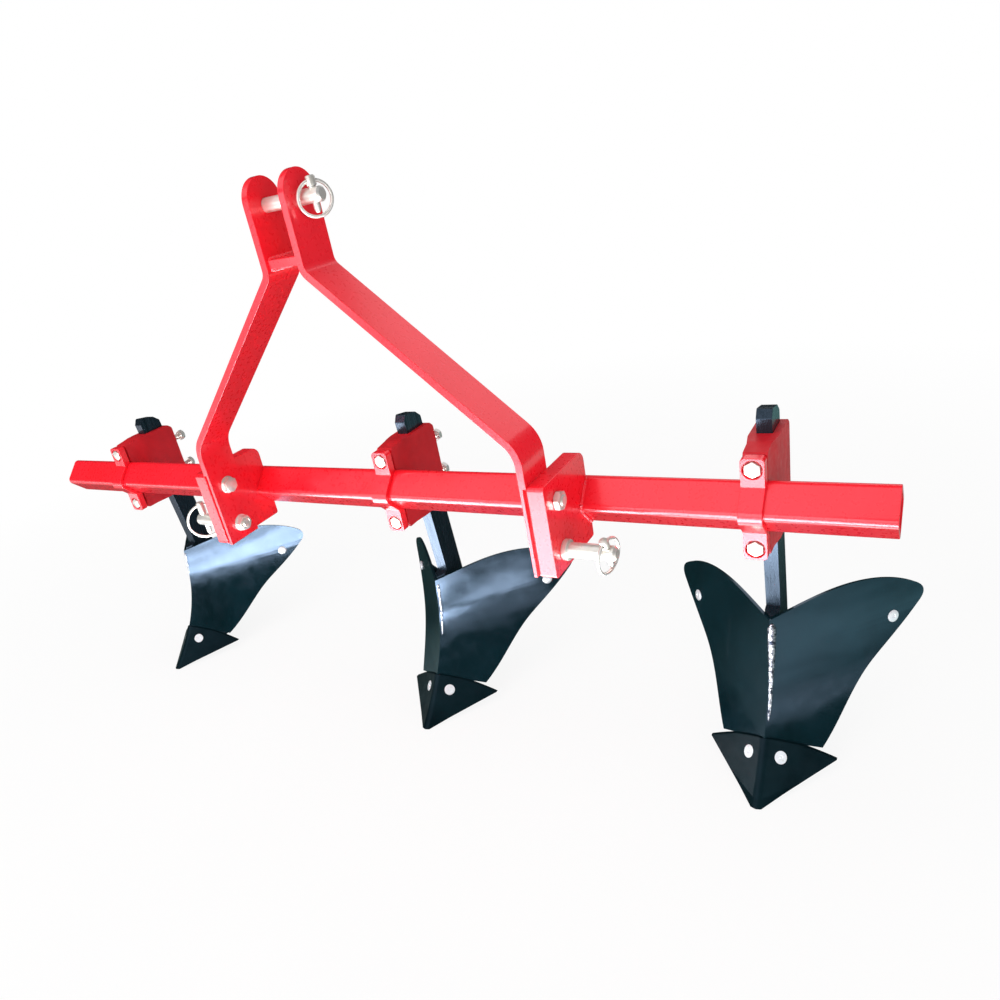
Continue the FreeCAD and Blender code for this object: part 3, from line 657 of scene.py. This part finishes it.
def bracket_bolts():
    form = Form()
    length = BRACKET_OUT + NUT[16] + HITCH_END - FOOT_IN
    for side in SIDES.values():
        out = X * side
        seat = place(MAST, side * FOOT_IN, BRACKET_BOLT_Y, BRACKET_BOLT_Z)
        hex_bolt(form, seat, -out, 16, length, THREAD_FROM)
        washer(form, seat, -out)
        nut_seat = place(MAST, side * BRACKET_OUT, BRACKET_BOLT_Y, BRACKET_BOLT_Z)
        hex_nut(form, nut_seat, out, 16, turn=12, bore=NUT_BORE)
    return form


def wing_face(row, side, x, z):
    """A point on a wing's outer face and the direction into the wing, in the part's frame."""
    square = math.hypot(1, WING_SWEEP)
    centre_back = (RIDGE_Y / square - WING_FLAT * math.tan(WING_LEAN) -
                   WING_RADIUS * math.cos(WING_LEAN))
    centre_z = RIDGE_TOP - WING_FLAT + WING_RADIUS * math.sin(WING_LEAN)
    angle = max(WING_LEAN, math.asin((centre_z - z) / WING_RADIUS))
    start_z = centre_z - WING_RADIUS * math.sin(angle)
    back = centre_back + WING_RADIUS * math.cos(angle) + (z - start_z) * math.tan(angle)
    inward = Vector((-WING_SWEEP / square * side, 1 / square, 0)) * math.cos(angle)
    inward -= Z * math.sin(angle)
    return place(ROW[row], side * x, back * square + WING_SWEEP * x, z), inward


def wing_bolt(form, face, into):
    """A carriage bolt: a domed head with a punched middle, and its nut behind the wing."""
    dome = [(9.5, -0.4), (9.4, 0.7), (8.2, 1.5), (5.5, 1.9), (3.1, 2.0), (2.5, 1.1)]
    clamped = WING + STAY
    turned_form(form, face, -into, dome)
    thread_form(form, face - into * (SUNK * MM), into, 10, SUNK + clamped + NUT[10] + BODY_BOLT_END,
                PITCH[10])
    hex_nut(form, face + into * (clamped * MM), into, 10)


def plough_bolt(form, face, into):
    """A flat-headed bolt let into the share, and its nut behind the wing."""
    head = [(4, 3.0), (9.75, 2.0), (9.75, 0.35), (9.4, 0.0), (3.4, 0.0), (3.0, 0.45),
            (1.4, 0.45), (1.1, 0.1)]
    turned_form(form, face - into * (SHARE * MM), into, head)
    thread_form(form, face, into, 8, WING + NUT[8] + BODY_BOLT_END, PITCH[8])
    hex_nut(form, face + into * (WING * MM), into, 8)


def body_bolts(row):
    form = Form()
    for side in SIDES.values():
        wing_bolt(form, *wing_face(row, side, WING_BOLT_X, WING_BOLT_Z))
        plough_bolt(form, *wing_face(row, side, PLOUGH_BOLT_X, PLOUGH_BOLT_Z))
    seat = SHANK / 2 + STAY
    length = 2 * seat + NUT[12] + BODY_BOLT_END
    hex_bolt(form, place(ROW[row], seat, SHANK_BOLT_Y, SHANK_BOLT_Z), X, 12, length, THREAD_FROM)
    hex_nut(form, place(ROW[row], -seat, SHANK_BOLT_Y, SHANK_BOLT_Z), -X, 12)
    return form


def linch_place(which):
    """Where a linch pin crosses its big pin's axis, and the direction in which it stands."""
    up = Matrix.Rotation(math.radians(LINCH_LEAN[which]), 3, "X") @ Z
    if which == "top":
        return place(MAST, TOP_OUT + TOP_PIN_REACH - LINCH_INSET, TOP_PIN_Y, TOP_PIN_Z), up
    along = BRACKET_OUT + LOWER_PIN_REACH - LINCH_INSET
    return place(MAST, SIDES[which] * along, LOWER_PIN_Y, LOWER_PIN_Z), up


def big_pin(node, which, form):
    """A hitch pin with the hole for its linch pin."""
    mesh = bored(form.mesh(node), *linch_place(which), LINCH_HOLE)
    stand_in(node + ".turned", node, mesh, bright_zinc)


def lower_pin(side):
    """A pin with a collar against the bracket, and the nut that holds it inside the mast bar."""
    node, out = "lower_link_pin_" + side, X * SIDES[side]
    spigot, collar, pin, end = 8, COLLAR / 2, LOWER_PIN / 2, LOWER_PIN / 2 - 0.5
    chamfer, end_chamfer = 0.8, 3
    outline = [(spigot, FOOT_IN - BRACKET_OUT), (spigot, -0.1), (collar - chamfer, 0),
               (collar, chamfer), (collar, COLLAR_LENGTH - chamfer),
               (collar - chamfer, COLLAR_LENGTH), (pin, COLLAR_LENGTH + 0.01), (pin, 53.5),
               (end, 54.5), (end, LOWER_PIN_REACH - 3.5), (end - end_chamfer, LOWER_PIN_REACH)]
    form = Form()
    turned_form(form, place(MAST, SIDES[side] * BRACKET_OUT, LOWER_PIN_Y, LOWER_PIN_Z), out,
                outline, steps=64)
    big_pin(node, side, form)
    inner = place(MAST, SIDES[side] * FOOT_IN, LOWER_PIN_Y, LOWER_PIN_Z)
    nut = Form()
    hex_nut(nut, inner, -out, 16, PIN_NUT, turn=20, bore=NUT_BORE)
    washer(nut, inner, -out)
    thread_form(nut, inner - out * ((PIN_NUT - HITCH_END) * MM), -out, PIN_THREAD,
                2 * HITCH_END, PITCH[16])
    add_piece(node + ".nut", nut.mesh(node + ".nut", SMOOTH_METAL), bright_zinc, body_of(node))


def top_pin():
    """A pin through both mast bars, with a head against the left one."""
    pin, end, chamfer = TOP_PIN / 2, TOP_OUT + TOP_PIN_REACH, 2.5
    head = [(11.5, -47.5), (13.5, -46.2), (13.5, -38.4), (12.6, -37.6)]
    outline = head + [(pin, -TOP_OUT), (pin, end - chamfer), (pin - chamfer, end)]
    form = Form()
    turned_form(form, place(MAST, 0, TOP_PIN_Y, TOP_PIN_Z), X, outline, steps=64)
    big_pin("top_link_pin", "top", form)


def linch(which):
    """A linch pin with a domed head, pointed tip and sprung wire ring."""
    pattern = "top_linch%s" if which == "top" else "lower_linch%s_" + which
    name, pin_node, ring_node = (pattern % part for part in ("", "_pin", "_ring"))
    big, above, below, turn = LINCH[which]
    base, up = linch_place(which)
    plane = Matrix.Rotation(math.radians(-turn), 3, "Z") @ X
    plane = Matrix.Rotation(math.radians(LINCH_LEAN[which]), 3, "X") @ plane
    plane.x *= SIDES.get(which, 1)          # the top link pin's end is on the right
    seat, top, tip = big / 2, big / 2 + above, -big / 2 - below
    hinge = top - HINGE_DROP
    shank, head = LINCH_PIN / 2, LINCH_HEAD / 2
    pin = Form()
    turned_form(pin, base, up, [(2.2, tip), (3.9, tip + 2.4), (shank, tip + 6), (shank, seat + 1),
                                (head, seat + 1.6), (head, top - 2.2), (5.6, top - 0.6),
                                (3.6, top)])
    mesh = bored(pin.mesh(name), base + up * (hinge * MM), up.cross(plane), RING_HOLE)
    stand_in(name, pin_node, mesh, bright_zinc)
    radius = (hinge - tip + RING_WIRE) / 2
    wire = Form()
    ring_form(wire, base + up * ((hinge - radius) * MM), plane, radius, RING_WIRE / 2)
    name += ".ring"
    stand_in(name, ring_node, wire.mesh(name, SMOOTH_WIRE), bright_zinc)


for row in ROWS:
    fastener("clamp_bolts_" + row, clamp_bolts(row))
    fastener("set_bolts_" + row, set_bolts(row))
    fastener("body_bolts_" + row, body_bolts(row), lit_head_zinc)
fastener("bracket_bolts", bracket_bolts())
top_pin()
for side in SIDES:
    lower_pin(side)
for which in LINCH:
    linch(which)


# ---------------------------------------------------------------- welds

def weld(name, body, finish, paths, radius, seed, flat=1.0, taper=0.0):
    """Beads along paths; flat is the ratio of a bead's two radii, taper what they lose by its end."""
    form = Form()
    for i, path in enumerate(paths):
        bead_form(form, path, radius, seed + i, flat, taper)
    add_piece(name, form.mesh(name, SMOOTH_BEAD), finish, body)


def bracket_weld(side):
    """A bead round the front of the toolbar, on the bracket's outer face."""
    above = [(-4, 34.2), (-11, 28.5), (-28.5, 11), (-33.6, 5)]
    below = [(y, -z) for y, z in reversed(above)]
    path = [place(MAST, SIDES[side] * (BRACKET_OUT + BEAD_OFFSET), y, z)
            for y, z in above + [(-34.6, 0)] + below]
    weld("bracket_weld_" + side, "frame", red, [path], radius=3.4, seed=11 + SIDES[side])


def cross_plate_welds():
    """Beads where the plate meets the two mast bars, above and below."""
    low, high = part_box("mast_cross_plate")
    paths = [[Vector((x, low.y + 2 * MM, z)), Vector((x, high.y - 3 * MM, z))]
             for x in (low.x, high.x) for z in (low.z, high.z)]
    weld("cross_plate_welds", "frame", red, paths, radius=4.2, seed=31)


def ridge_weld(row, top, foot, radius, flat, taper, aside):
    """A bead down the ridge where the wings meet, a little aside on the right-hand wing."""
    spans = 8
    path = [wing_face(row, 1, aside, top + (foot - top) * i / spans)[0] + Y * (BEAD_OFFSET * MM)
            for i in range(spans + 1)]
    weld("ridge_weld_" + row, "ridger_" + row, weld_metal, [path], radius, seed=51, flat=flat,
         taper=taper)


for side in SIDES:
    bracket_weld(side)
cross_plate_welds()
ridge_weld("right", top=-214, foot=-356, radius=7.5, flat=0.8, taper=0.75, aside=2.6)
ridge_weld("middle", top=-216, foot=-312, radius=2.3, flat=1.4, taper=0.6, aside=2.6)
ridge_weld("left", top=-214, foot=-262, radius=1.6, flat=1.3, taper=0.5, aside=0.6)


# ---------------------------------------------------------------- stage, light, camera: metres

FLOOR_HALF, FLOOR_DROP = 30.0, 0.0005
PANEL_RISE = 0.01                 # the low panels lie this far above the floor
# panels that light nothing and are only mirrored, face up: middle x and y, width, depth, radiance
LOW_PANELS = {"low panel ahead": (-0.1, -1.02, 1.5, 0.55, 12.0),
              "low panel, left": (-1.5, -1.0, 1.2, 0.6, 3.2),
              "low panel, near": (-0.1, -0.46, 0.9, 0.5, 15.0),
              "low panel, beside": (0.62, -0.6, 0.45, 0.4, 18.0),
              "low panel, right": (0.6, -0.14, 0.42, 0.26, 5.0)}
LENS, SENSOR = 28.138, 36.0       # millimetres
LENS_SHIFT = (0.03737, 0.03175)
CAMERA_PLACE = (859.85, -937.494, 462.19)      # millimetres from the toolbar's axis
CAMERA_TURN = (64.6414, 11.1764, 30.3608)      # degrees


def floor_material():
    """Pale and matt; towards the edges it only glows, so that no horizon shows.

    Only in reflections does it glow, as a painted reflection: bright ahead of the machine, in a strip
    out to its right, and darker and tinted green behind it.
    """
    grey, pale = (0.80, 0.80, 0.80), (0.83, 0.83, 0.83)
    white, reflected_green = (1.0, 1.0, 1.0), (0.45, 0.95, 0.90)
    m = Shading("pale floor")
    m.set(Roughness=0.9)
    m.colour(m.blend(m.spread(m.noise(3.0, 3, 0.5), 0.3, 0.7), grey, pale))
    parts = m.add("ShaderNodeSeparateXYZ")
    m.link(m.where, parts.inputs[0])
    x, y = parts.outputs["X"], parts.outputs["Y"]
    reach = m.add("ShaderNodeVectorMath", operation="LENGTH")
    m.link(m.where, reach.inputs[0])
    rays = m.add("ShaderNodeLightPath")
    seen, mirrored = rays.outputs["Is Camera Ray"], rays.outputs["Is Glossy Ray"]
    # painted reflection: seen only in the paint, the floor glows bright ahead, in a strip to the right,
    # and dim green behind
    ahead = m.spread(y, -0.50, 0.16, 0.95, 0.04)
    beside = m.join("MULTIPLY", m.spread(x, 0.82, 1.02, 0.0, 0.80), m.spread(x, 1.15, 1.55, 1.0, 0.06))
    behind = m.join("MULTIPLY", m.spread(y, -0.3, 0.3), mirrored)
    glow = m.add("ShaderNodeEmission")
    m.link(m.blend(behind, white, reflected_green), glow.inputs["Color"])
    m.link(m.join("MAXIMUM", seen, m.join("MAXIMUM", ahead, beside)), glow.inputs["Strength"])
    distant = m.spread(reach.outputs["Value"], 1.1, 2.4, 0.88, 1.0)
    mix = m.add("ShaderNodeMixShader")
    m.link(m.join("MAXIMUM", m.join("MULTIPLY", seen, distant), mirrored), mix.inputs[0])
    m.link(m.shader.outputs[0], mix.inputs[1])
    m.link(glow.outputs[0], mix.inputs[2])
    m.link(mix.outputs[0], m.tree.nodes["Material Output"].inputs["Surface"])
    return m.material


def add_floor():
    form = Form()
    form.grid([[Vector((x, y, 0)) for x in (-FLOOR_HALF, FLOOR_HALF)]
               for y in (-FLOOR_HALF, FLOOR_HALF)], closed=False, caps=False)
    floor = put("floor", form.mesh("floor"))
    floor.data.materials.append(floor_material())
    floor.location.z = -FLOOR_DROP


def world_light():
    """White to the camera, nearly black where it is mirrored, and plain soft light to the rest."""
    world = bpy.data.worlds.new("studio")
    scene.world = world
    world.use_nodes = True
    tree = world.node_tree
    tree.nodes.clear()

    def background(colour, strength):
        node = tree.nodes.new("ShaderNodeBackground")
        node.inputs["Color"].default_value = colour + (1.0,)
        node.inputs["Strength"].default_value = strength
        return node.outputs[0]

    def choose(factor, a, b):
        node = tree.nodes.new("ShaderNodeMixShader")
        for socket, value in zip(node.inputs, (factor, a, b)):
            tree.links.new(value, socket)
        return node.outputs[0]

    room = background((1.0, 0.99, 0.98), 0.60)
    shine = background((0.80, 0.90, 1.0), 0.03)
    white = background((1.0, 1.0, 1.0), 1.0)
    rays = tree.nodes.new("ShaderNodeLightPath").outputs
    light = choose(rays["Is Camera Ray"], choose(rays["Is Glossy Ray"], room, shine), white)
    out = tree.nodes.new("ShaderNodeOutputWorld")
    tree.links.new(light, out.inputs["Surface"])


def soft_box(name, location, target, width, height, radiance, mirrored=True, lights=True):
    """A glowing panel that faces target; mirrored puts it in reflections, and lights lets it light
    matt surfaces."""
    lamp = bpy.data.lights.new(name, "AREA")
    lamp.shape = "RECTANGLE"
    lamp.size, lamp.size_y = width, height
    lamp.energy = radiance * width * height * math.pi
    box = put(name, lamp)
    box.location = location
    box.rotation_euler = (Vector(target) - Vector(location)).to_track_quat("-Z", "Y").to_euler()
    box.visible_camera = False
    box.visible_glossy = mirrored
    box.visible_diffuse = lights


def add_camera():
    lens = bpy.data.cameras.new("photo view")
    lens.lens, lens.sensor_width = LENS, SENSOR
    lens.shift_x, lens.shift_y = LENS_SHIFT
    camera = put("photo view", lens)
    camera.location = place(AXIS, *CAMERA_PLACE)
    camera.rotation_euler = [math.radians(a) for a in CAMERA_TURN]
    scene.camera = camera


add_floor()
world_light()
for name, (x, y, width, depth, radiance) in LOW_PANELS.items():
    soft_box(name, (x, y, PANEL_RISE), (x, y, 1.0), width, depth, radiance, lights=False)
soft_box("tall panel ahead", (-0.5, -2.6, 1.1), (0, 0, 0.45), width=3.0, height=1.4, radiance=2.8)
soft_box("overhead", (-0.4, -0.9, 2.6), (0, 0, 0.4), width=2.6, height=2.6, radiance=1.1)
soft_box("high at the back", (0.3, 2.4, 2.0), (0.1, 0, 0.6), width=2.2, height=1.4, radiance=1.0)
soft_box("side fill", (2.2, -1.0, 0.6), (0, 0, 0.4), width=1.4, height=1.4, radiance=1.8,
         mirrored=False)
add_camera()
scene.view_settings.view_transform = "Standard"
